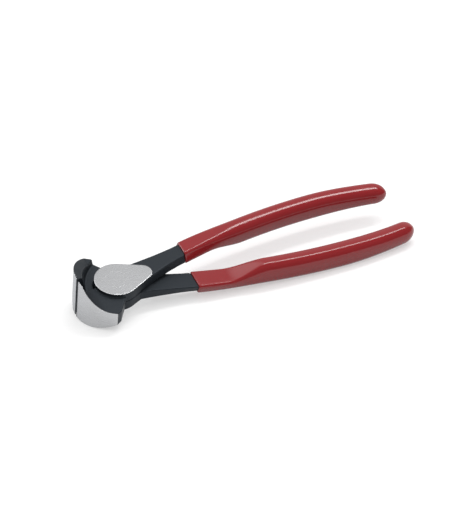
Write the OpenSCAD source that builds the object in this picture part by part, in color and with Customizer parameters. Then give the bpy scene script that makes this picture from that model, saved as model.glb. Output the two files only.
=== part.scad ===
// End cutting nippers: two forged levers in a riveted lap joint, with dipped vinyl grips.
// Frame: pivot axis on Z, jaws toward -X, handles toward +X, origin on the lower boss face.

/* [Joint] */
// Thickness of one lap of the joint
lap_t = 6.4; // [5:0.1:8]
// Radius of the round boss around the pivot
boss_r = 13.4; // [12:0.1:15]
// Distance from the pivot to the centre of the boss tail
tail_x = 16.4; // [13:0.1:20]
// Radius of the boss tail
tail_r = 6.1; // [4.5:0.1:7]
// How far the ground boss face stands above the shank
boss_proud = 0.35; // [0.1:0.05:0.8]
// Opening of the levers as they lie, in degrees
rest_open = 2.1; // [0.5:0.1:30]

/* [Jaws] */
// Distance from the pivot to the cutting edges
edge_x = 25.3; // [22:0.1:27]
// Length of the cutting edges
edge_len = 28.4; // [25:0.2:32]
// Radius of the ground outer face of the jaws
face_r = 28.3; // [26:0.1:31]
// Distance from the mid line to the jaw shoulder
shoulder_y = 24.9; // [22:0.1:26]
// Length of the flat on a jaw's back beside its shoulder
back_len = 3.9; // [2:0.1:5]
// Turn of that flat from the tool's length, in degrees
back_turn = 30; // [20:1:40]
// Flat land left at the ends of the cutting edge
face_land = 0.6; // [0.3:0.1:1.2]
// Half height of a jaw at its shoulder
shoulder_h = 4.2; // [3:0.1:5.5]
// Radius of the scoop in front of the boss
scoop_r = 11.3; // [9:0.1:13]
// Half height of a jaw's rim at its shoulder
rim_h = 4.8; // [4:0.1:6.5]
// Height of the lowered floor beside the boss, on the lower lever
lower_floor_h = 1.5; // [1:0.1:3]
// Height of the lowered floor beside the boss, on the upper lever
upper_floor_h = 4; // [3:0.1:4.5]
// Distance from the pivot to the wall of that floor on the mid line
wall_x = 18.5; // [17:0.1:20]
// Radius of that wall in plan
wall_r = 32; // [26:0.5:40]
// Turn of that wall about the pivot, in degrees
wall_turn = 20; // [12:0.5:26]
// Lean of that wall outward, in degrees
wall_lean = 13; // [5:0.5:18]
// Radius of the throat behind the cutting edges
throat_r = 2.75; // [2.2:0.05:3.2]
// Distance from the cutting edges to the centre of the throat
throat_back = 4.6; // [4:0.1:5.5]

/* [Rivet] */
// Diameter of the rivet shank
rivet_d = 8; // [6:0.1:10]
// Diameter of the rivet heads
rivet_head_d = 12.4; // [11:0.1:14]
// Depth of the rivet heads
rivet_head_h = 1.8; // [1:0.1:2.5]

/* [Shanks] */
// Inner edge of the shank at its root beside the boss
root_in = -9.1; // [-11:0.1:-7]
// Outer edge of the shank at its root beside the boss
root_out = 9.2; // [7:0.1:10]
// Width of the shank where the grip starts, halfway up its sides
shank_w = 10.8; // [8:0.1:12]
// Distance of the shank's middle from the mid line where the grip starts
shank_y = 9.4; // [8.5:0.1:11]
// How far the shank's inner side stands past the handle core there
shank_in = 1; // [0:0.1:1.2]
// Lean of the shank's sides there, which are wider by this at the lap and narrower at the top
shank_lean = 0.7; // [0:0.1:1.2]
// Height of the shank's lower face above the lap plane where the grip starts
shank_lift = 1.2; // [0.6:0.1:1.8]

/* [Handles] */
// Distance from the pivot to the start of the grips
dip_x = 46.4; // [42:0.2:52]
// Distance from the pivot to the end of the handle core
core_end = 188.6; // [170:0.2:205]
// Distance from the pivot to the widest place of the handles
bow_x = 138; // [120:1:150]
// Distance of the handle's middle from the mid line at its widest place
bow_y = 19.8; // [16:0.1:26]
// Distance of the handle's middle from the mid line at its end
end_y = 14.4; // [12:0.1:20]
// Width of the handle core
core_w = 10.4; // [8:0.1:12]
// Half height of the handle core near its end
end_h = 4.8; // [4.2:0.1:6]
// How much lower the handle is along its inner side
inner_drop = 0.3; // [0:0.1:1.6]
// Start of the flare from half to full thickness
flare_start = 64; // [60:0.5:70]
// End of the flare from half to full thickness
flare_end = 90; // [84:0.5:100]
// Rounding of the shank's edges
shank_round = 0.8; // [0.4:0.1:1.8]
// Rounding of the handle core's edges
core_round = 4; // [2:0.1:5]
// Length of the rounded end of the core
end_round = 7.6; // [5:0.1:10]
// Wall of the dipped grip
grip_t = 1.2; // [0.6:0.1:2]

/* [Clearances] */
// Gap between the two lap faces
lap_gap = 0.1; // [0.06:0.02:0.3]
// Gap between the closed cutting edges
edge_gap = 0.06; // [0.04:0.02:0.2]
// Gap around a boss in the other lever's recess
boss_gap = 0.3; // [0.2:0.05:0.6]
// Radial running gap of the rivet
rivet_gap = 0.05; // [0.02:0.01:0.1]
// Gap between a handle core and its grip
grip_gap = 0.05; // [0.03:0.01:0.1]

/* [Hidden] */
$fn = 96;
// Facets of the wide arcs of the jaws
wide_fn = 192;
steel_black = [0.20, 0.22, 0.24];
steel_bright = [0.75, 0.76, 0.77];
vinyl_red = [0.62, 0.09, 0.13];

// Reach of cutting tools past the solid that they cut
past = 10;
half_edge = edge_len / 2;
face_x = face_r - edge_x;
shoulder_x = face_x - sqrt(face_r * face_r - shoulder_y * shoulder_y);
scoop_x = edge_x - face_land - scoop_r;
scoop_z = shoulder_h + scoop_r;
throat_x = edge_x - throat_back;
// Half angle of the ground bevels that lead from the edges into the throat
bevel = asin(throat_r / throat_back);
shank_top = lap_t - boss_proud;
// Depth of the shank's root inside the boss, and its start there
root_depth = 1.8;
root_x = boss_r - root_depth;
dip_slope = 2 * (bow_y - shank_y) / (bow_x - dip_x);
// Length of the step from the shank's inner side to the handle core
step_run = 0.5;
// Share of the shank's rounding that is left on its lap side
lap_round = 0.4;
// Largest share of a side that a corner's rounding takes
round_share = 0.94;
corner_steps = 5;
end_steps = 5;
shank_stations = 6;
handle_stations = 26;

function ease(u) = let (v = max(0, min(1, u))) v * v * (3 - 2 * v);
function blend(a, b, u) = a + (b - a) * ease(u);

// Middle line of the handle, bowed to its widest place and back in toward the end
function middle_y(x) = x < bow_x
    ? bow_y - (bow_y - shank_y) * pow((bow_x - x) / (bow_x - dip_x), 2)
    : bow_y - (bow_y - end_y) * pow((x - bow_x) / (core_end - bow_x), 2);
function half_w(x) = blend(shank_w, core_w, (x - dip_x) / (flare_end - dip_x)) / 2;

// Edge of the shank from its root to the grip, meeting the handle's slope there
function shank_edge(x, root, dip) = let (run = dip_x - x, full = dip_x - root_x)
    dip - dip_slope * run - (dip - root - dip_slope * full) * pow(run / full, 2);
function inner_y(x) = x < dip_x
    ? shank_edge(x, root_in, shank_y - shank_w / 2 - shank_in)
    : middle_y(x) - half_w(x);
function outer_y(x) = x < dip_x ? shank_edge(x, root_out, shank_y + shank_w / 2) : middle_y(x) + half_w(x);
function core_h(x) = blend(shank_top, end_h, (x - bow_x) / (core_end - bow_x));

// Shares of the way from the root to the grip, along the grip's start, and of the flare
function root_share(x) = (x - root_x) / (dip_x - root_x);
function dip_share(x) = (x - dip_x) / (flare_end - dip_x);
function flare_share(x) = (x - flare_start) / (flare_end - flare_start);
function low_z(x) = x < dip_x
    ? blend(lap_gap / 2, shank_lift, root_share(x))
    : blend(shank_lift, -core_h(x), flare_share(x));
function side_lean(x) = x < dip_x ? blend(0, shank_lean, root_share(x)) : blend(shank_lean, 0, dip_share(x));
function top_drop(x) = blend(0, inner_drop, dip_share(x));
function low_drop(x) = blend(0, inner_drop, flare_share(x));
function full_r(x) = min(core_round, round_share * min(core_h(x) - inner_drop, half_w(x)));
function corner_r(x) = blend(shank_round, full_r(x), dip_share(x));
function lap_corner_r(x) = blend(shank_round * lap_round, full_r(x), flare_share(x));

// Corners of the section at x, from its outer top round to its outer bottom: centre in Y and Z, and radius
function corners(x, grow) = let (
    yi = inner_y(x),
    yo = outer_y(x),
    zl = low_z(x),
    zh = core_h(x),
    lean = side_lean(x),
    rl = lap_corner_r(x),
    rh = corner_r(x)) [
        [yo - lean - rh, zh - rh, rh + grow],
        [yi + lean + rh, zh - top_drop(x) - rh, rh + grow],
        [yi - lean + rl, zl + low_drop(x) + rl, rl + grow],
        [yo + lean - rl, zl + rl, rl + grow]];

// Direction that the side from one corner to the next faces, from -45 to 315 degrees
function facing(a, b) = let (
    run = norm([b[0] - a[0], b[1] - a[1]]),
    turn = atan2(b[1] - a[1], b[0] - a[0]) - 90 + asin((a[2] - b[2]) / run))
    turn - 360 * floor((turn + 45) / 360);

// Points of a corner's round between the two sides that it joins
function corner_points(c, first, last) = [for (k = [0 : corner_steps])
    let (a = first + (last - first) * k / corner_steps) [c[0] + c[2] * cos(a), c[1] + c[2] * sin(a)]];

// Section of the lever at x, grown outward and shrunk about its middle for the rounded end
function section(x, grow, shrink, at) = let (
    c = corners(x, grow),
    side = [for (i = [0 : 3]) facing(c[i], c[(i + 1) % 4])],
    ym = (inner_y(x) + outer_y(x)) / 2,
    zm = (low_z(x) + core_h(x)) / 2)
    [for (i = [0 : 3]) for (p = corner_points(c[i], side[(i + 3) % 4], side[i] + (i == 3 ? 360 : 0)))
        [at, ym + (p[0] - ym) * shrink, zm + (p[1] - zm) * shrink]];

// Sections along the shank, and along the handle with its rounded end
function shank_rings() = concat(
    [for (i = [0 : shank_stations - 1])
        let (x = root_x + (dip_x - root_x) * i / shank_stations) section(x, 0, 1, x)],
    [section(dip_x - step_run, 0, 1, dip_x - step_run)]);
function handle_rings(grow) = let (stop = core_end - end_round, reach = end_round + grow) concat(
    [for (i = [0 : handle_stations])
        let (x = dip_x + (stop - dip_x) * i / handle_stations) section(x, grow, 1, x)],
    [for (k = [1 : end_steps]) let (a = 90 * k / (end_steps + 1))
        section(stop + end_round * sin(a), grow, cos(a), stop + reach * sin(a))]);
function skin_end(grow) = [core_end + grow, middle_y(core_end), (core_h(core_end) + low_z(core_end)) / 2];
function flat(lists) = [for (a = lists) for (b = a) b];

// Triangles between neighbouring rings of m points, and the fan that closes the end
function ring_faces(rings, m, first, flip) = flat([for (i = [0 : rings - 2]) for (j = [0 : m - 1])
    let (a = first + i * m + j, b = first + i * m + (j + 1) % m, c = a + m, d = b + m)
        flip ? [[a, b, c], [b, d, c]] : [[a, c, b], [b, c, d]]]);
function end_faces(m, last, tip, flip) = [for (j = [0 : m - 1])
    let (a = last + j, b = last + (j + 1) % m) flip ? [a, b, tip] : [a, tip, b]];

// Solid shank and handle core
module core_body() {
    rings = concat(shank_rings(), handle_rings(0));
    m = len(rings[0]);
    n = len(rings) * m;
    polyhedron(
        points = concat(flat(rings), [skin_end(0)]),
        faces = concat([for (j = [1 : m - 2]) [0, j, j + 1]],
            ring_faces(len(rings), m, 0, false), end_faces(m, n - m, n, false)));
}

// Hollow sleeve with a closed end around the core
module sleeve() {
    outside = handle_rings(grip_t);
    inside = handle_rings(grip_gap);
    m = len(outside[0]);
    n = len(outside) * m;
    polyhedron(
        points = concat(flat(outside), [skin_end(grip_t)], flat(inside), [skin_end(grip_gap)]),
        faces = concat(ring_faces(len(outside), m, 0, false), end_faces(m, n - m, n, false),
            ring_faces(len(inside), m, n + 1, true), end_faces(m, 2 * n + 1 - m, 2 * n + 1, true),
            flat([for (j = [0 : m - 1]) let (k = (j + 1) % m)
                [[j, k, n + 1 + j], [k, n + 1 + k, n + 1 + j]]])));
}

// Plan of the teardrop boss: two circles and their common tangents
module teardrop() {
    a = acos((boss_r - tail_r) / tail_x);
    circle(boss_r);
    translate([tail_x, 0]) circle(tail_r);
    polygon([
        [boss_r * cos(a), boss_r * sin(a)], [boss_r * cos(a), -boss_r * sin(a)],
        [tail_x + tail_r * cos(a), -tail_r * sin(a)], [tail_x + tail_r * cos(a), tail_r * sin(a)]]);
}

// Plan of one jaw, from the cutting edge round the outer face to the back wall at the boss
module jaw_plan() {
    difference() {
        intersection() {
            translate([face_x, 0]) circle(face_r, $fn = wide_fn);
            polygon([
                [-edge_x - past, -edge_gap / 2], [0, -edge_gap / 2], [0, -boss_r],
                [shoulder_x + back_len * cos(back_turn), back_len * sin(back_turn) - shoulder_y],
                [shoulder_x, -shoulder_y], [-edge_x - past, -shoulder_y]]);
        }
        translate([-throat_x, 0]) circle(throat_r);
        polygon([
            [-edge_x, -edge_gap / 2],
            [-throat_x - throat_r * sin(bevel), -edge_gap / 2 - throat_r * cos(bevel)],
            [-throat_x, 0], [-edge_x, past]]);
    }
}

// Jaw block: scooped on its own lap's side, rimmed around the other lever's boss
module jaw(floor_h) {
    difference() {
        translate([0, 0, -half_edge]) linear_extrude(edge_len) jaw_plan();
        scoop();
        rim_cut();
        translate([0, 0, -half_edge - past])
            cylinder(h = half_edge + past + lap_gap / 2, r = boss_r + boss_gap);
        recess(floor_h);
    }
}

// Lowered floor around the other lever's boss, with a leaning wall that bows forward
module recess(floor_h) {
    depth = half_edge + past - floor_h;
    rotate([0, 0, wall_turn]) translate([wall_r - wall_x, 0, -half_edge - past])
        cylinder(h = depth, r1 = wall_r + depth * tan(wall_lean), r2 = wall_r, $fn = wide_fn);
}

// Round scoop in front of the boss, run on flat over the shoulder
module scoop() {
    run = shoulder_y + 2 * past;
    translate([-scoop_x, -shoulder_y - past, scoop_z]) rotate([-90, 0, 0]) cylinder(h = run, r = scoop_r);
    translate([-scoop_x, -shoulder_y - past, shoulder_h]) cube([edge_x + past, run, half_edge]);
}

// Slanting cut from the end of the cutting edge down to the rim's height at the shoulder
module rim_cut() {
    rotate([90, 0, 0]) linear_extrude(2 * (shoulder_y + past), center = true)
        polygon([
            [-edge_x, -half_edge], [shoulder_x, -rim_h], [past, -rim_h],
            [past, -half_edge - past], [-edge_x, -half_edge - past]]);
}

// Rivet of revolution, grown by a gap, with its head run past the boss face
module turned_rivet(grow, extra) {
    r = rivet_d / 2 + grow;
    head = rivet_head_d / 2 + grow;
    neck = lap_t - rivet_head_h - grow;
    rotate_extrude()
        polygon([
            [0, -lap_t - extra], [head, -lap_t - extra], [head, -lap_t], [r, -neck],
            [r, neck], [head, lap_t], [head, lap_t + extra], [0, lap_t + extra]]);
}

// One forging in its closed place, with its lap on top
module forged_lever(floor_h) {
    difference() {
        union() {
            translate([0, 0, lap_gap / 2]) linear_extrude(lap_t - lap_gap / 2) teardrop();
            jaw(floor_h);
            core_body();
        }
        turned_rivet(rivet_gap, past);
    }
}

// Places a piece of the upper lever
module upper_side() {
    translate([0, 0, lap_t]) rotate([0, 0, rest_open / 2]) children();
}

// Places a piece of the lower lever, which is the same forging turned over
module lower_side() {
    translate([0, 0, lap_t]) rotate([0, 0, -rest_open / 2]) rotate([180, 0, 0]) children();
}

module upper_lever() {
    color(steel_black) upper_side() forged_lever(upper_floor_h);
}

module lower_lever() {
    color(steel_black) lower_side() forged_lever(lower_floor_h);
}

module pivot_rivet() {
    color(steel_bright) translate([0, 0, lap_t]) turned_rivet(0, 0);
}

module upper_grip() {
    color(vinyl_red) upper_side() sleeve();
}

module lower_grip() {
    color(vinyl_red) lower_side() sleeve();
}

upper_lever();
lower_lever();
pivot_rivet();
upper_grip();
lower_grip();
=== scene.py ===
import math
import bmesh
import bpy
import numpy as np
from mathutils import Matrix, Vector


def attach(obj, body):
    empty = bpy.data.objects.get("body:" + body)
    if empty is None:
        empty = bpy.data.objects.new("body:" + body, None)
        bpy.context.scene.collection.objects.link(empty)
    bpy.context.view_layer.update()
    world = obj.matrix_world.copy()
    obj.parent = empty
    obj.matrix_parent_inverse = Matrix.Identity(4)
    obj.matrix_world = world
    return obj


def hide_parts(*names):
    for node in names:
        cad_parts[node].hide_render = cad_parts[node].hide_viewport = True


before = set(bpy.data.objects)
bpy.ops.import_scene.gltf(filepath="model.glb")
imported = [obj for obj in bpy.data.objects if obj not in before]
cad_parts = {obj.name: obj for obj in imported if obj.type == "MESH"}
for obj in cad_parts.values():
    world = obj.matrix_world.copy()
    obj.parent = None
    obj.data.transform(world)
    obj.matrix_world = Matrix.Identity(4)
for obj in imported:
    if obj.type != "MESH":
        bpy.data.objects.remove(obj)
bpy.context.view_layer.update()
print("frame loaded:", ", ".join(sorted(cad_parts)))

mm = 0.001

# Joint sizes in mm, shared by the levers, the rivet and the grips
jointForm = {
    "lapThickness": 6.4,
    "restOpen": 2.1,       # degrees between the levers as they lie
    "bossRadius": 13.4,
    "tailReach": 16.4,
    "tailRadius": 6.1,
    "edgeReach": 25.3,
    "faceRadius": 28.3,
}

lift = Matrix.Translation((0, 0, jointForm["lapThickness"] * mm))
halfOpen = math.radians(jointForm["restOpen"] / 2)
upperPlace = lift @ Matrix.Rotation(halfOpen, 4, "Z")
lowerPlace = lift @ Matrix.Rotation(-halfOpen, 4, "Z") @ Matrix.Rotation(math.pi, 4, "X")


# Camera at the photograph's viewing angle

cameraForm = {
    "azimuth": -29.64,
    "elevation": 42.71,
    "roll": 5.76,
    "distance": 1500,      # mm
    "target": (75.45, -4.24, 6.4),
    "lens": 174.27,
    "sensor": 36.0,
    "clip": (0.01, 50),    # metres
}


def placeCamera(form):
    a, e, r = (math.radians(form[k]) for k in ("azimuth", "elevation", "roll"))
    back = Vector((math.sin(a) * math.cos(e), -math.cos(a) * math.cos(e), math.sin(e)))
    right = Vector((math.cos(a), math.sin(a), 0))
    up = back.cross(right)
    tiltRight = right * math.cos(r) + up * math.sin(r)
    tiltUp = up * math.cos(r) - right * math.sin(r)
    data = bpy.data.cameras.new("photoCamera")
    data.lens = form["lens"]
    data.sensor_width = form["sensor"]
    data.clip_start, data.clip_end = form["clip"]
    camera = bpy.data.objects.new("photoCamera", data)
    bpy.context.scene.collection.objects.link(camera)
    turn = Matrix((tiltRight, tiltUp, back)).transposed().to_4x4()
    spot = (Vector(form["target"]) + back * form["distance"]) * mm
    camera.matrix_world = Matrix.Translation(spot) @ turn
    bpy.context.scene.camera = camera


placeCamera(cameraForm)
print("camera placed")


# Small helpers for node trees and meshes

def addNode(tree, kind, **settings):
    node = tree.nodes.new(kind)
    for name, value in settings.items():
        setattr(node, name, value)
    return node


def plug(tree, value, socket):
    if isinstance(value, bpy.types.NodeSocket):
        tree.links.new(value, socket)
    else:
        socket.default_value = value


def calc(tree, operation, *values):
    node = addNode(tree, "ShaderNodeMath", operation=operation)
    for value, socket in zip(values, node.inputs):
        plug(tree, value, socket)
    return node.outputs[0]


def ramp(tree, value, low, high, start, stop, style="SMOOTHSTEP"):
    node = addNode(tree, "ShaderNodeMapRange", interpolation_type=style)
    names = ("Value", "From Min", "From Max", "To Min", "To Max")
    for name, given in zip(names, (value, low, high, start, stop)):
        plug(tree, given, node.inputs[name])
    return node.outputs["Result"]


def mixColour(tree, factor, first, second):
    node = addNode(tree, "ShaderNodeMix", data_type="RGBA")
    plug(tree, factor, node.inputs["Factor"])
    colours = [s for s in node.inputs if s.type == "RGBA"]
    plug(tree, first, colours[0])
    plug(tree, second, colours[1])
    return next(s for s in node.outputs if s.type == "RGBA")


def noise(tree, vector, scale, detail):
    node = addNode(tree, "ShaderNodeTexNoise")
    plug(tree, vector, node.inputs["Vector"])
    node.inputs["Scale"].default_value = scale
    node.inputs["Detail"].default_value = detail
    return node.outputs["Fac"]


def stretched(tree, vector, scale):
    node = addNode(tree, "ShaderNodeMapping")
    plug(tree, vector, node.inputs["Vector"])
    node.inputs["Scale"].default_value = scale
    return node.outputs["Vector"]


def newGroup(name, inputs, outputs):
    tree = bpy.data.node_groups.new(name, "ShaderNodeTree")
    for label, kind in inputs:
        tree.interface.new_socket(name=label, in_out="INPUT", socket_type=kind)
    for label, kind in outputs:
        tree.interface.new_socket(name=label, in_out="OUTPUT", socket_type=kind)
    return tree, addNode(tree, "NodeGroupInput"), addNode(tree, "NodeGroupOutput")


def addGroup(tree, group, **values):
    node = addNode(tree, "ShaderNodeGroup", node_tree=group)
    for name, value in values.items():
        plug(tree, value, node.inputs[name])
    return node


def newMaterial(name):
    material = bpy.data.materials.new(name)
    material.use_nodes = True
    tree = material.node_tree
    shader = next(n for n in tree.nodes if n.type == "BSDF_PRINCIPLED")
    place = addNode(tree, "ShaderNodeTexCoord").outputs["Object"]
    return material, tree, shader, place


def newPiece(name, mesh):
    piece = bpy.data.objects.new(name, mesh)
    bpy.context.scene.collection.objects.link(piece)
    return piece


def finishPiece(piece, body, node, material):
    piece.data.materials.clear()
    piece.data.materials.append(material)
    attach(piece, body)
    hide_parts(node)


# Shader groups that more than one finish uses

noiseSpan = (0.3, 0.7)     # most values of a noise lie between these

grainForm = {
    "along": 0.03,         # how much a line is drawn out
    "detail": 2.0,
    "cloudScale": 60.0,
    "facing": (0.4, 0.8),  # upright faces below this, flat ones above
}
mottleDetail = {"Patches": 4.0, "Pits": 2.0}


def makeGrindGrain(form):
    # fine lines that a belt leaves: along the tool on flat faces, around the jaws on upright ones
    tree, given, out = newGroup(
        "grindGrain",
        [("Vector", "NodeSocketVector"), ("Lines", "NodeSocketFloat")],
        [("Grain", "NodeSocketFloat"), ("Cloud", "NodeSocketFloat")],
    )
    scaled = addNode(tree, "ShaderNodeVectorMath", operation="SCALE")
    plug(tree, given.outputs["Vector"], scaled.inputs[0])
    plug(tree, given.outputs["Lines"], scaled.inputs["Scale"])
    along, detail = form["along"], form["detail"]
    flat = noise(tree, stretched(tree, scaled.outputs[0], (along, 1, 1)), 1.0, detail)
    upright = noise(tree, stretched(tree, scaled.outputs[0], (along, along, 1)), 1.0, detail)
    normal = addNode(tree, "ShaderNodeNewGeometry").outputs["Normal"]
    split = addNode(tree, "ShaderNodeSeparateXYZ")
    plug(tree, normal, split.inputs[0])
    facing = ramp(tree, calc(tree, "ABSOLUTE", split.outputs["Z"]), *form["facing"], 0.0, 1.0)
    grain = addNode(tree, "ShaderNodeMix", data_type="FLOAT")
    plug(tree, facing, grain.inputs["Factor"])
    plug(tree, upright, grain.inputs["A"])
    plug(tree, flat, grain.inputs["B"])
    plug(tree, grain.outputs["Result"], out.inputs["Grain"])
    plug(tree, noise(tree, given.outputs["Vector"], form["cloudScale"], detail), out.inputs["Cloud"])
    return tree


def makeSurfaceMottle():
    # slow patches and fine pits of a dipped or oxidised surface
    tree, given, out = newGroup(
        "surfaceMottle",
        [
            ("Vector", "NodeSocketVector"),
            ("Patch Size", "NodeSocketFloat"),
            ("Pit Size", "NodeSocketFloat"),
        ],
        [("Patches", "NodeSocketFloat"), ("Pits", "NodeSocketFloat")],
    )
    for size, label in (("Patch Size", "Patches"), ("Pit Size", "Pits")):
        node = addNode(tree, "ShaderNodeTexNoise")
        plug(tree, given.outputs["Vector"], node.inputs["Vector"])
        plug(tree, calc(tree, "DIVIDE", 1.0, given.outputs[size]), node.inputs["Scale"])
        node.inputs["Detail"].default_value = mottleDetail[label]
        plug(tree, node.outputs["Fac"], out.inputs[label])
    return tree


grindGrain = makeGrindGrain(grainForm)
surfaceMottle = makeSurfaceMottle()


# Finishes

leverFinish = {
    "black": (0.021, 0.0255, 0.031, 1),
    "blackWorn": (0.028, 0.0335, 0.040, 1),
    "blackMetal": 0.4,
    "blackGloss": 0.25,
    "grazeTint": (0.72, 0.73, 0.75, 1),   # dulls the steel where it is seen along its surface
    "blackRough": (0.36, 0.50),
    "groundBlend": 0.03,   # mm on either side of a ground face's outline
    "ground": (0.51, 0.515, 0.525, 1),
    "groundDark": (0.46, 0.465, 0.475, 1),
    "groundRough": (0.25, 0.30),
    "lines": 5000.0,       # grain lines in a metre
    "patch": 0.012,
    "pit": 0.0005,
    "pitDepth": 0.00002,
    "grainDepth": 0.0000004,
}

gripFinish = {
    "red": (0.26, 0.013, 0.016, 1),
    "redDeep": (0.235, 0.011, 0.014, 1),
    "rough": (0.12, 0.16),
    "patch": 0.03,
    "peel": 0.0025,
    "peelDepth": 0.00001,
}


def groundSteel(tree, place, form):
    # colour, roughness and bump height of bright ground steel
    grain = addGroup(tree, grindGrain, Vector=place, Lines=form["lines"])
    colour = mixColour(tree, grain.outputs["Cloud"], form["groundDark"], form["ground"])
    rough = ramp(tree, grain.outputs["Grain"], *noiseSpan, *form["groundRough"], "LINEAR")
    height = calc(tree, "MULTIPLY", grain.outputs["Grain"], form["grainDepth"])
    return colour, rough, height


def addBump(tree, shader, height):
    bump = addNode(tree, "ShaderNodeBump")
    bump.inputs["Distance"].default_value = 1.0
    plug(tree, height, bump.inputs["Height"])
    plug(tree, bump.outputs["Normal"], shader.inputs["Normal"])


def makeLeverSteel(form):
    material, tree, shader, place = newMaterial("leverSteel")
    margin = addNode(tree, "ShaderNodeAttribute", attribute_name="groundMargin").outputs["Fac"]
    ground = ramp(tree, margin, -form["groundBlend"], form["groundBlend"], 0.0, 1.0)
    mottle = addGroup(
        tree, surfaceMottle, Vector=place, **{"Patch Size": form["patch"], "Pit Size": form["pit"]}
    )
    black = mixColour(tree, mottle.outputs["Patches"], form["black"], form["blackWorn"])
    blackRough = ramp(tree, mottle.outputs["Patches"], *noiseSpan, *form["blackRough"], "LINEAR")
    pits = calc(tree, "MULTIPLY", mottle.outputs["Pits"], form["pitDepth"])
    bright, brightRough, lines = groundSteel(tree, place, form)
    plug(tree, mixColour(tree, ground, black, bright), shader.inputs["Base Color"])
    for first, second, use in ((blackRough, brightRough, "rough"), (pits, lines, "height")):
        node = addNode(tree, "ShaderNodeMix", data_type="FLOAT")
        plug(tree, ground, node.inputs["Factor"])
        plug(tree, first, node.inputs["A"])
        plug(tree, second, node.inputs["B"])
        if use == "rough":
            plug(tree, node.outputs["Result"], shader.inputs["Roughness"])
        else:
            addBump(tree, shader, node.outputs["Result"])
    plug(tree, ramp(tree, ground, 0.0, 1.0, form["blackMetal"], 1.0, "LINEAR"), shader.inputs["Metallic"])
    shader.inputs["Specular IOR Level"].default_value = form["blackGloss"]
    shader.inputs["Specular Tint"].default_value = form["grazeTint"]
    return material


def makeRivetSteel(form):
    material, tree, shader, place = newMaterial("rivetSteel")
    colour, rough, height = groundSteel(tree, place, form)
    plug(tree, colour, shader.inputs["Base Color"])
    plug(tree, rough, shader.inputs["Roughness"])
    addBump(tree, shader, height)
    shader.inputs["Metallic"].default_value = 1.0
    return material


def makeGripVinyl(form):
    material, tree, shader, place = newMaterial("gripVinyl")
    mottle = addGroup(
        tree, surfaceMottle, Vector=place, **{"Patch Size": form["patch"], "Pit Size": form["peel"]}
    )
    patches = mottle.outputs["Patches"]
    plug(tree, mixColour(tree, patches, form["redDeep"], form["red"]), shader.inputs["Base Color"])
    rough = ramp(tree, patches, *noiseSpan, *form["rough"], "LINEAR")
    plug(tree, rough, shader.inputs["Roughness"])
    addBump(tree, shader, calc(tree, "MULTIPLY", mottle.outputs["Pits"], form["peelDepth"]))
    return material


leverSteel = makeLeverSteel(leverFinish)
rivetSteel = makeRivetSteel(leverFinish)
gripVinyl = makeGripVinyl(gripFinish)
print("finishes made")


# Levers: the forging's solid with rounded edges, and its ground faces kept crisp

leverForm = {
    "weld": 1e-6,          # metres
    "voxel": 0.28,         # mm
    "rounds": 6,           # passes that round the forged edges
    "pull": 0.5,
    "hornPull": 0.3,       # share of that at the ends of the cutting edge
    "hornSpan": (5.5, 8.5),
    "faceDepth": 0.17,     # how far below a ground face its edge begins
    "bossInset": 0.15,     # how far inside its outline the boss face is bright
    "keepNear": 0.05,
    "keepFar": 0.25,
    "gapShadeAndJawEnd": (1.1, 24.85),   # distances from the mid line where a ground jaw face begins and ends; the dark steel left inside the first distance, along the cutting edge, is painted shade of the gap between the jaws
    "edgeKeep": (0.8, 1.8),
    "boreKeep": (6.8, 7.4),
    "coreFrom": 52,        # where the grip hides the handle core
    "coreShare": 0.63,     # share of all faces left when the core is thinned
}


def teardropInside(x, y):
    # distance inside the outline of the boss face: two circles and their tangents
    big, small, reach = jointForm["bossRadius"], jointForm["tailRadius"], jointForm["tailReach"]
    side = np.abs(y)
    b = (big - small) / reach
    a = math.sqrt(1 - b * b)
    k = -b * side + a * x
    outside = np.where(
        k < 0,
        np.hypot(side, x) - big,
        np.where(k > a * reach, np.hypot(side, x - reach) - small, a * side + b * x - big),
    )
    return -outside


def groundMargin(p):
    # over 0 on the ground boss face and the ground jaw face, in mm
    x, y, z = p.T
    depth = leverForm["faceDepth"]
    boss = np.minimum(z - jointForm["lapThickness"] + depth, teardropInside(x, y) - leverForm["bossInset"])
    faceX = jointForm["faceRadius"] - jointForm["edgeReach"]
    jaw = depth - np.abs(np.hypot(x - faceX, y) - jointForm["faceRadius"])
    begin, end = leverForm["gapShadeAndJawEnd"]
    # painted shade: the jaw face stays dark steel within the first distance of the mid line, standing in
    # for the shadow of the gap between the jaws
    jaw = np.minimum(jaw, np.minimum(-y - begin, end + y))
    return np.maximum(boss, np.where(x < 0, jaw, -depth))


def between(value, span):
    return np.clip((value - span[0]) / (span[1] - span[0]), 0, 1)


def roundForging(p, edges, form):
    x, y, z = p.T
    free = between(-groundMargin(p), (form["keepNear"], form["keepFar"]))
    free *= 1 - (1 - form["hornPull"]) * between(np.abs(z), form["hornSpan"])
    free *= between(np.hypot(x + jointForm["edgeReach"], y), form["edgeKeep"])
    free *= between(np.hypot(x, y), form["boreKeep"])
    ends = np.concatenate([edges, edges[:, ::-1]])
    here, there = ends.T
    count = np.bincount(here, minlength=len(p))
    for _ in range(form["rounds"]):
        sums = [np.bincount(here, weights=p[there, i], minlength=len(p)) for i in range(3)]
        middle = np.stack([total / count for total in sums], axis=1)
        p = p + (middle - p) * (free * form["pull"])[:, None]
    return p


def meshPoints(mesh):
    points = np.zeros(len(mesh.vertices) * 3)
    mesh.vertices.foreach_get("co", points)
    return points.reshape(-1, 3) / mm


def thinCore(mesh, form):
    # fewer faces on the handle core inside the grip
    piece = newPiece("thinning", mesh)
    hidden = piece.vertex_groups.new(name="hidden")
    inside = np.flatnonzero(meshPoints(mesh)[:, 0] > form["coreFrom"])
    hidden.add(inside.tolist(), 1.0, "REPLACE")
    thin = piece.modifiers.new("thin", "DECIMATE")
    thin.ratio = form["coreShare"]
    thin.vertex_group = hidden.name
    thinned = bpy.data.meshes.new_from_object(piece.evaluated_get(bpy.context.evaluated_depsgraph_get()))
    bpy.data.objects.remove(piece)
    return thinned


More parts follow.
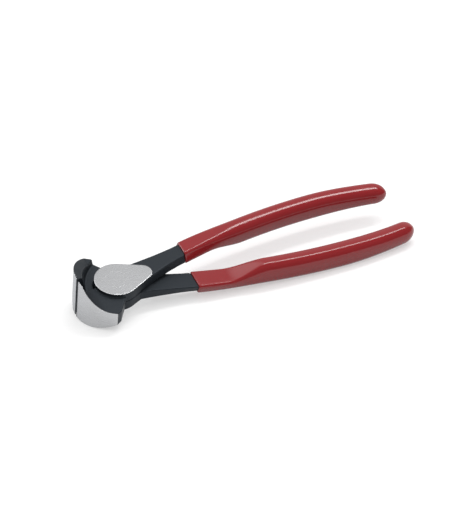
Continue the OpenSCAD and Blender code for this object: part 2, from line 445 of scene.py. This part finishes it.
def forgeLever(name, node, place, body):
    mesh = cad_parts[node].data.copy()
    mesh.transform(place.inverted())
    work = bmesh.new()
    work.from_mesh(mesh)
    bmesh.ops.remove_doubles(work, verts=work.verts, dist=leverForm["weld"])
    work.to_mesh(mesh)
    work.free()
    rough = newPiece(name + "Rough", mesh)
    remesh = rough.modifiers.new("remesh", "REMESH")
    remesh.mode = "VOXEL"
    remesh.voxel_size = leverForm["voxel"] * mm
    shape = bpy.data.meshes.new_from_object(rough.evaluated_get(bpy.context.evaluated_depsgraph_get()))
    bpy.data.objects.remove(rough)
    edges = np.zeros(len(shape.edges) * 2, int)
    shape.edges.foreach_get("vertices", edges)
    points = roundForging(meshPoints(shape), edges.reshape(-1, 2), leverForm)
    shape.vertices.foreach_set("co", (points * mm).ravel())
    shape = thinCore(shape, leverForm)
    shape.name = name
    margin = shape.attributes.new("groundMargin", "FLOAT", "POINT")
    margin.data.foreach_set("value", groundMargin(meshPoints(shape)))
    shape.transform(place)
    shape.shade_smooth()
    piece = newPiece(name, shape)
    finishPiece(piece, body, node, leverSteel)
    shape.calc_loop_triangles()
    print(name, len(shape.loop_triangles), "triangles")


forgeLever("upperForging", "upper_lever", upperPlace, "upper_half")
forgeLever("lowerForging", "lower_lever", lowerPlace, "lower_half")


# Rivet: countersunk heads ground flush with the boss faces

rivetForm = {
    "shaft": 4.0,
    "head": 6.2,
    "headDepth": 1.8,
    "rim": 0.32,           # lap of the head over the rounded mouth of its seat
    "rimDepth": 0.05,
    "proud": 0.006,
    "around": 128,
    "weld": 1e-7,          # metres
}


def turnRivet(form):
    lap = jointForm["lapThickness"]
    top = lap + form["proud"]
    half = [
        (form["shaft"], 0),
        (form["shaft"], lap - form["headDepth"]),
        (form["head"], lap - form["rimDepth"]),
        (form["head"] + form["rim"], lap - form["rimDepth"] / 2),
        (form["head"] + form["rim"], lap),
        (form["head"] + form["rim"] - form["rimDepth"], top),
        (0, top),
    ]
    profile = [(r, -z) for r, z in reversed(half[1:])] + half
    work = bmesh.new()
    verts = [work.verts.new((r * mm, 0, (z + lap) * mm)) for r, z in profile]
    edges = [work.edges.new(pair) for pair in zip(verts, verts[1:])]
    bmesh.ops.spin(
        work, geom=verts + edges, cent=(0, 0, 0), axis=(0, 0, 1), angle=2 * math.pi, steps=form["around"]
    )
    bmesh.ops.remove_doubles(work, verts=work.verts, dist=form["weld"])
    bmesh.ops.recalc_face_normals(work, faces=work.faces)
    mesh = bpy.data.meshes.new("flushRivet")
    work.to_mesh(mesh)
    work.free()
    piece = newPiece("flushRivet", mesh)
    finishPiece(piece, "lower_half", "pivot_rivet", rivetSteel)


turnRivet(rivetForm)
print("rivet turned")


# Grips: vinyl skins that follow the bowed handles, from their lip to their round end

gripForm = {
    "Grip Start": 46.4,
    "Core End": 188.6,
    "Bow Place": 138,
    "Bow Out": 19.8,
    "Start Out": 9.4,
    "End Out": 14.4,
    "Start Width": 10.8,
    "Core Width": 10.4,
    "Start Lean": 0.7,     # the lap side is wider by this and the top narrower
    "Start Lift": 1.2,     # height over the lap plane
    "Start Height": 6.05,
    "End Height": 4.8,
    "Inner Drop": 0.3,     # how much lower the inner side is
    "Flare Start": 64,
    "Flare End": 90,
    "Start Round": 0.8,
    "Start Lap Round": 0.32,
    "Core Round": 4,
    "Round Share": 0.94,
    "End Round": 7.6,
    "Gap": 0.05,
    "Wall": 1.2,
    "Lip Length": 1.0,
    "Lip Power": 0.7,
    "Crown": 0.08,
}
gripCounts = {"Lip Rows": 8, "Rows": 90, "End Rows": 12, "Corner Points": 9}
gripWeld = 0.001           # mm


def makeGripSkin():
    # one skin at a distance from the handle core, as a grid of rows along and points around it
    tree = bpy.data.node_groups.new("gripSkin", "GeometryNodeTree")
    for name in gripForm:
        tree.interface.new_socket(name=name, in_out="INPUT", socket_type="NodeSocketFloat")
    for name in gripCounts:
        tree.interface.new_socket(name=name, in_out="INPUT", socket_type="NodeSocketInt")
    tree.interface.new_socket(name="Mesh", in_out="OUTPUT", socket_type="NodeSocketGeometry")
    given = addNode(tree, "NodeGroupInput").outputs
    out = addNode(tree, "NodeGroupOutput")

    def op(operation, *values):
        return calc(tree, operation, *values)

    def pick(test, yes, no):
        node = addNode(tree, "GeometryNodeSwitch", input_type="FLOAT")
        plug(tree, test, node.inputs["Switch"])
        plug(tree, no, node.inputs["False"])
        plug(tree, yes, node.inputs["True"])
        return node.outputs[0]

    lipRows, rows, endRows = given["Lip Rows"], given["Rows"], given["End Rows"]
    allRows = op("ADD", op("ADD", lipRows, rows), endRows)
    around = op("MULTIPLY", given["Corner Points"], 4)
    grid = addNode(tree, "GeometryNodeMeshGrid")
    plug(tree, allRows, grid.inputs["Size X"])
    plug(tree, around, grid.inputs["Size Y"])
    plug(tree, op("ADD", allRows, 1), grid.inputs["Vertices X"])
    plug(tree, op("ADD", around, 1), grid.inputs["Vertices Y"])
    spot = addNode(tree, "ShaderNodeSeparateXYZ")
    plug(tree, addNode(tree, "GeometryNodeInputPosition").outputs[0], spot.inputs[0])
    row = op("ROUND", op("ADD", spot.outputs["X"], op("DIVIDE", allRows, 2)))
    point = op("ROUND", op("ADD", spot.outputs["Y"], op("DIVIDE", around, 2)))

    # place of a row along the handle, and its distance from the core
    start = given["Grip Start"]
    stop = op("SUBTRACT", given["Core End"], given["End Round"])
    lipTurn = op("MULTIPLY", op("MINIMUM", op("DIVIDE", row, lipRows), 1), math.pi / 2)
    lipIn = op("SUBTRACT", 1, op("POWER", op("MAXIMUM", op("COSINE", lipTurn), 0), given["Lip Power"]))
    lipOut = op("POWER", op("SINE", lipTurn), given["Lip Power"])
    lipX = op("ADD", start, op("MULTIPLY", given["Lip Length"], lipIn))
    lipEnd = op("ADD", start, given["Lip Length"])
    share = op("DIVIDE", op("SUBTRACT", row, lipRows), rows)
    handleX = op("ADD", lipEnd, op("MULTIPLY", op("SUBTRACT", stop, lipEnd), share))
    endRow = op("SUBTRACT", op("SUBTRACT", row, lipRows), rows)
    endTurn = op("MAXIMUM", op("MULTIPLY", op("DIVIDE", endRow, endRows), math.pi / 2), 0)
    grow = op("ADD", given["Gap"], op("MULTIPLY", op("SUBTRACT", given["Wall"], given["Gap"]), lipOut))
    baseX = pick(op("LESS_THAN", row, lipRows), lipX, op("MINIMUM", handleX, stop))
    x = op("ADD", baseX, op("MULTIPLY", given["End Round"], op("SINE", endTurn)))
    placeX = op("ADD", x, op("MULTIPLY", grow, op("SINE", endTurn)))
    shrink = op("COSINE", endTurn)

    # section there
    before = op("LESS_THAN", x, given["Bow Place"])
    away = op("SUBTRACT", x, given["Bow Place"])
    reachIn = op("SUBTRACT", given["Bow Place"], start)
    reachOut = op("SUBTRACT", given["Core End"], given["Bow Place"])
    bend = op("POWER", op("DIVIDE", away, pick(before, reachIn, reachOut)), 2)
    fall = op("SUBTRACT", given["Bow Out"], pick(before, given["Start Out"], given["End Out"]))
    middle = op("SUBTRACT", given["Bow Out"], op("MULTIPLY", fall, bend))
    flareStart, flareEnd = given["Flare Start"], given["Flare End"]
    halfW = op("DIVIDE", ramp(tree, x, start, flareEnd, given["Start Width"], given["Core Width"]), 2)
    top = ramp(tree, x, given["Bow Place"], given["Core End"], given["Start Height"], given["End Height"])
    low = ramp(tree, x, flareStart, flareEnd, given["Start Lift"], op("MULTIPLY", top, -1))
    lean = ramp(tree, x, start, flareEnd, given["Start Lean"], 0.0)
    topDrop = ramp(tree, x, start, flareEnd, 0.0, given["Inner Drop"])
    lowDrop = ramp(tree, x, flareStart, flareEnd, 0.0, given["Inner Drop"])
    least = op("MINIMUM", op("SUBTRACT", top, given["Inner Drop"]), halfW)
    fullRound = op("MINIMUM", given["Core Round"], op("MULTIPLY", given["Round Share"], least))
    topRound = ramp(tree, x, start, flareEnd, given["Start Round"], fullRound)
    lowRound = ramp(tree, x, flareStart, flareEnd, given["Start Lap Round"], fullRound)

    # corners of the section, from its outer top round to its outer bottom: centre and radius
    topY = op("SUBTRACT", op("SUBTRACT", halfW, lean), topRound)
    lowY = op("SUBTRACT", op("ADD", halfW, lean), lowRound)
    topZ = op("SUBTRACT", top, topRound)
    lowZ = op("ADD", low, lowRound)
    corners = [
        (topY, topZ, topRound),
        (op("MULTIPLY", topY, -1), op("SUBTRACT", topZ, topDrop), topRound),
        (op("MULTIPLY", lowY, -1), op("ADD", lowZ, lowDrop), lowRound),
        (lowY, lowZ, lowRound),
    ]

    def facing(first, second):
        # direction that the side between two corners faces, from -45 to 315 degrees
        runY = op("SUBTRACT", second[0], first[0])
        runZ = op("SUBTRACT", second[1], first[1])
        run = op("SQRT", op("ADD", op("POWER", runY, 2), op("POWER", runZ, 2)))
        bend = op("ARCSINE", op("DIVIDE", op("SUBTRACT", first[2], second[2]), run))
        turn = op("ADD", op("SUBTRACT", op("ARCTAN2", runZ, runY), math.pi / 2), bend)
        return op("SUBTRACT", op("FLOORED_MODULO", op("ADD", turn, math.pi / 4), 2 * math.pi), math.pi / 4)

    sides = [facing(corners[i], corners[(i + 1) % 4]) for i in range(4)]

    # point on the section: the crowned middle of a side, then the corner's round
    each = given["Corner Points"]
    corner = op("FLOORED_MODULO", op("FLOOR", op("DIVIDE", op("ADD", point, 0.5), each)), 4)
    step = op("FLOORED_MODULO", point, each)
    onSide = op("LESS_THAN", step, 0.5)

    def ofCorner(values):
        value = values[3]
        for i in (2, 1, 0):
            value = pick(op("LESS_THAN", corner, i + 0.5), values[i], value)
        return value

    def own(axis):
        here = ofCorner([c[axis] for c in corners])
        last = ofCorner([corners[i - 1][axis] for i in range(4)])
        return pick(onSide, op("DIVIDE", op("ADD", here, last), 2), here)

    turn = op("MAXIMUM", op("DIVIDE", op("SUBTRACT", step, 1), op("SUBTRACT", each, 2)), 0)
    begin = ofCorner([sides[3], sides[0], sides[1], sides[2]])
    finish = ofCorner([sides[0], sides[1], sides[2], op("ADD", sides[3], 2 * math.pi)])
    angle = op("ADD", begin, op("MULTIPLY", op("SUBTRACT", finish, begin), turn))
    radius = op("ADD", op("ADD", own(2), grow), pick(onSide, given["Crown"], 0))
    y = op("ADD", own(0), op("MULTIPLY", radius, op("COSINE", angle)))
    z = op("ADD", own(1), op("MULTIPLY", radius, op("SINE", angle)))
    middleZ = op("DIVIDE", op("ADD", top, low), 2)
    shrunkZ = op("ADD", middleZ, op("MULTIPLY", op("SUBTRACT", z, middleZ), shrink))
    joined = addNode(tree, "ShaderNodeCombineXYZ")
    plug(tree, placeX, joined.inputs["X"])
    plug(tree, op("ADD", middle, op("MULTIPLY", y, shrink)), joined.inputs["Y"])
    plug(tree, shrunkZ, joined.inputs["Z"])
    move = addNode(tree, "GeometryNodeSetPosition")
    plug(tree, grid.outputs["Mesh"], move.inputs["Geometry"])
    plug(tree, joined.outputs[0], move.inputs["Position"])
    plug(tree, move.outputs["Geometry"], out.inputs["Mesh"])
    return tree


def makeGripTree(skin):
    # outer and inner skin, welded at the lip
    tree = bpy.data.node_groups.new("dippedGrip", "GeometryNodeTree")
    sockets = {}
    tree.interface.new_socket(name="Geometry", in_out="INPUT", socket_type="NodeSocketGeometry")
    for name in gripForm:
        sockets[name] = tree.interface.new_socket(name=name, in_out="INPUT", socket_type="NodeSocketFloat")
    for name in gripCounts:
        sockets[name] = tree.interface.new_socket(name=name, in_out="INPUT", socket_type="NodeSocketInt")
    sockets["Vinyl"] = tree.interface.new_socket(
        name="Vinyl", in_out="INPUT", socket_type="NodeSocketMaterial"
    )
    tree.interface.new_socket(name="Geometry", in_out="OUTPUT", socket_type="NodeSocketGeometry")
    given = addNode(tree, "NodeGroupInput").outputs
    out = addNode(tree, "NodeGroupOutput")
    outer = addNode(tree, "GeometryNodeGroup", node_tree=skin)
    inner = addNode(tree, "GeometryNodeGroup", node_tree=skin)
    for name in [*gripForm, *gripCounts]:
        plug(tree, given[name], outer.inputs[name])
        plug(tree, given["Gap"] if name == "Wall" else given[name], inner.inputs[name])
    turned = addNode(tree, "GeometryNodeFlipFaces")
    plug(tree, inner.outputs["Mesh"], turned.inputs["Mesh"])
    both = addNode(tree, "GeometryNodeJoinGeometry")
    tree.links.new(outer.outputs["Mesh"], both.inputs[0])
    tree.links.new(turned.outputs["Mesh"], both.inputs[0])
    weld = addNode(tree, "GeometryNodeMergeByDistance")
    plug(tree, both.outputs[0], weld.inputs["Geometry"])
    weld.inputs["Distance"].default_value = gripWeld
    smooth = addNode(tree, "GeometryNodeSetShadeSmooth")
    plug(tree, weld.outputs["Geometry"], smooth.inputs["Geometry"])
    real = addNode(tree, "GeometryNodeRealizeInstances")
    plug(tree, smooth.outputs["Geometry"], real.inputs["Geometry"])
    paint = addNode(tree, "GeometryNodeSetMaterial")
    plug(tree, real.outputs["Geometry"], paint.inputs["Geometry"])
    plug(tree, given["Vinyl"], paint.inputs["Material"])
    plug(tree, paint.outputs["Geometry"], out.inputs["Geometry"])
    return tree, sockets


gripTree, gripSockets = makeGripTree(makeGripSkin())


def dipGrip(name, node, place, body):
    maker = newPiece(name + "Maker", bpy.data.meshes.new(name + "Maker"))
    dip = maker.modifiers.new("dip", "NODES")
    dip.node_group = gripTree
    for label, value in {**gripForm, **gripCounts, "Vinyl": gripVinyl}.items():
        dip[gripSockets[label].identifier] = float(value) if label in gripForm else value
    mesh = bpy.data.meshes.new_from_object(maker.evaluated_get(bpy.context.evaluated_depsgraph_get()))
    maker.modifiers.clear()
    bpy.data.objects.remove(maker)
    mesh.name = name
    mesh.transform(place @ Matrix.Scale(mm, 4))
    piece = newPiece(name, mesh)
    finishPiece(piece, body, node, gripVinyl)
    mesh.calc_loop_triangles()
    print(name, len(mesh.loop_triangles), "triangles")


dipGrip("upperDippedGrip", "upper_grip", upperPlace, "upper_half")
dipGrip("lowerDippedGrip", "lower_grip", lowerPlace, "lower_half")


# Stage: pale floor that the near jaw and the near grip rest on, soft studio light

stageForm = {
    "floorHeight": -9.0,          # mm, under the pivot
    "floorRise": (0.015, -0.25),  # along X and along Y
    "floorHalf": 4.0,             # metres
    "floorColour": (0.55, 0.55, 0.55, 1),
    "floorRough": 0.9,
    "floorLift": 0.45,            # glow of the floor to the camera and in gloss
    "skySoft": (0.45, 1.35),      # soft light from the sides and from above
    "skyBack": 0.71,              # what gloss shows: the bright back of the room
    "skyFront": 0.2,              # and its dark front
    "skyTurn": (0.15, 0.40),      # where the front turns into the back
    "glowPlace": (-0.29, 0.64, 0.71),   # direction of a soft window in gloss
    "glowSpan": (0.86, 1.0),      # from its rim to its middle
    "glowLift": 1.4,
    "lamps": {                    # place and size in metres, power in watts
        "softBox": ((0.48, 0.40, 0.90), (0.7, 0.14), 3.4),
        "edgeBox": ((-0.64, 0.68, 0.30), (0.4, 0.3), 3.0),
    },
    "glintOnly": ["edgeBox"],     # seen in gloss, but lights nothing
    "lampAim": (0.1, 0, 0),
}


def layFloor(form):
    riseX, riseY = form["floorRise"]
    half = form["floorHalf"]
    corners = [(-half, -half), (half, -half), (half, half), (-half, half)]
    points = [(x, y, form["floorHeight"] * mm + riseX * x + riseY * y) for x, y in corners]
    mesh = bpy.data.meshes.new("paleFloor")
    mesh.from_pydata(points, [], [(0, 1, 2, 3)])
    floor = newPiece("paleFloor", mesh)
    material, tree, shader, _ = newMaterial("paleFloor")
    shader.inputs["Base Color"].default_value = form["floorColour"]
    shader.inputs["Roughness"].default_value = form["floorRough"]
    shader.inputs["Specular IOR Level"].default_value = 0.0
    shader.inputs["Emission Color"].default_value = (1, 1, 1, 1)
    path = addNode(tree, "ShaderNodeLightPath").outputs
    seen = calc(tree, "MAXIMUM", path["Is Glossy Ray"], path["Is Transmission Ray"])
    seen = calc(tree, "MAXIMUM", path["Is Camera Ray"], seen)
    plug(tree, calc(tree, "MULTIPLY", seen, form["floorLift"]), shader.inputs["Emission Strength"])
    # a camera under the floor sees through it
    under = addNode(tree, "ShaderNodeNewGeometry").outputs["Backfacing"]
    plug(tree, calc(tree, "SUBTRACT", 1.0, under), shader.inputs["Alpha"])
    mesh.materials.append(material)


def lightStudio(form):
    scene = bpy.context.scene
    world = bpy.data.worlds.new("studio")
    scene.world = world
    world.use_nodes = True
    tree = world.node_tree
    sky = next(n for n in tree.nodes if n.type == "BACKGROUND")
    direction = addNode(tree, "ShaderNodeTexCoord").outputs["Generated"]

    def along(axis):
        # 1 in the direction of this axis, 0 square to it
        node = addNode(tree, "ShaderNodeVectorMath", operation="DOT_PRODUCT")
        plug(tree, direction, node.inputs[0])
        node.inputs[1].default_value = Vector(axis).normalized()
        return node.outputs["Value"]

    backward = along((0, 1, form["floorRise"][1]))
    room = ramp(tree, backward, *form["skyTurn"], form["skyFront"], form["skyBack"])
    window = ramp(tree, along(form["glowPlace"]), *form["glowSpan"], 0.0, form["glowLift"])
    room = calc(tree, "ADD", room, window)
    soft = ramp(tree, along((0, -form["floorRise"][1], 1)), 0.0, 1.0, *form["skySoft"])
    path = addNode(tree, "ShaderNodeLightPath").outputs
    level = ramp(tree, path["Is Glossy Ray"], 0.0, 1.0, soft, room, "LINEAR")
    plug(tree, calc(tree, "MAXIMUM", level, path["Is Camera Ray"]), sky.inputs["Strength"])
    sky.inputs["Color"].default_value = (1, 1, 1, 1)
    for name, (spot, size, power) in form["lamps"].items():
        data = bpy.data.lights.new(name, "AREA")
        data.shape = "RECTANGLE"
        data.size, data.size_y = size
        data.energy = power
        lamp = bpy.data.objects.new(name, data)
        lamp.visible_diffuse = name not in form["glintOnly"]
        scene.collection.objects.link(lamp)
        away = (Vector(spot) - Vector(form["lampAim"])).normalized()
        across = away.cross((1, 0, 0)).normalized()
        turn = Matrix((across.cross(away), across, away)).transposed().to_4x4()
        lamp.matrix_world = Matrix.Translation(spot) @ turn
    scene.view_settings.view_transform = "Standard"


layFloor(stageForm)
lightStudio(stageForm)
print("stage set")
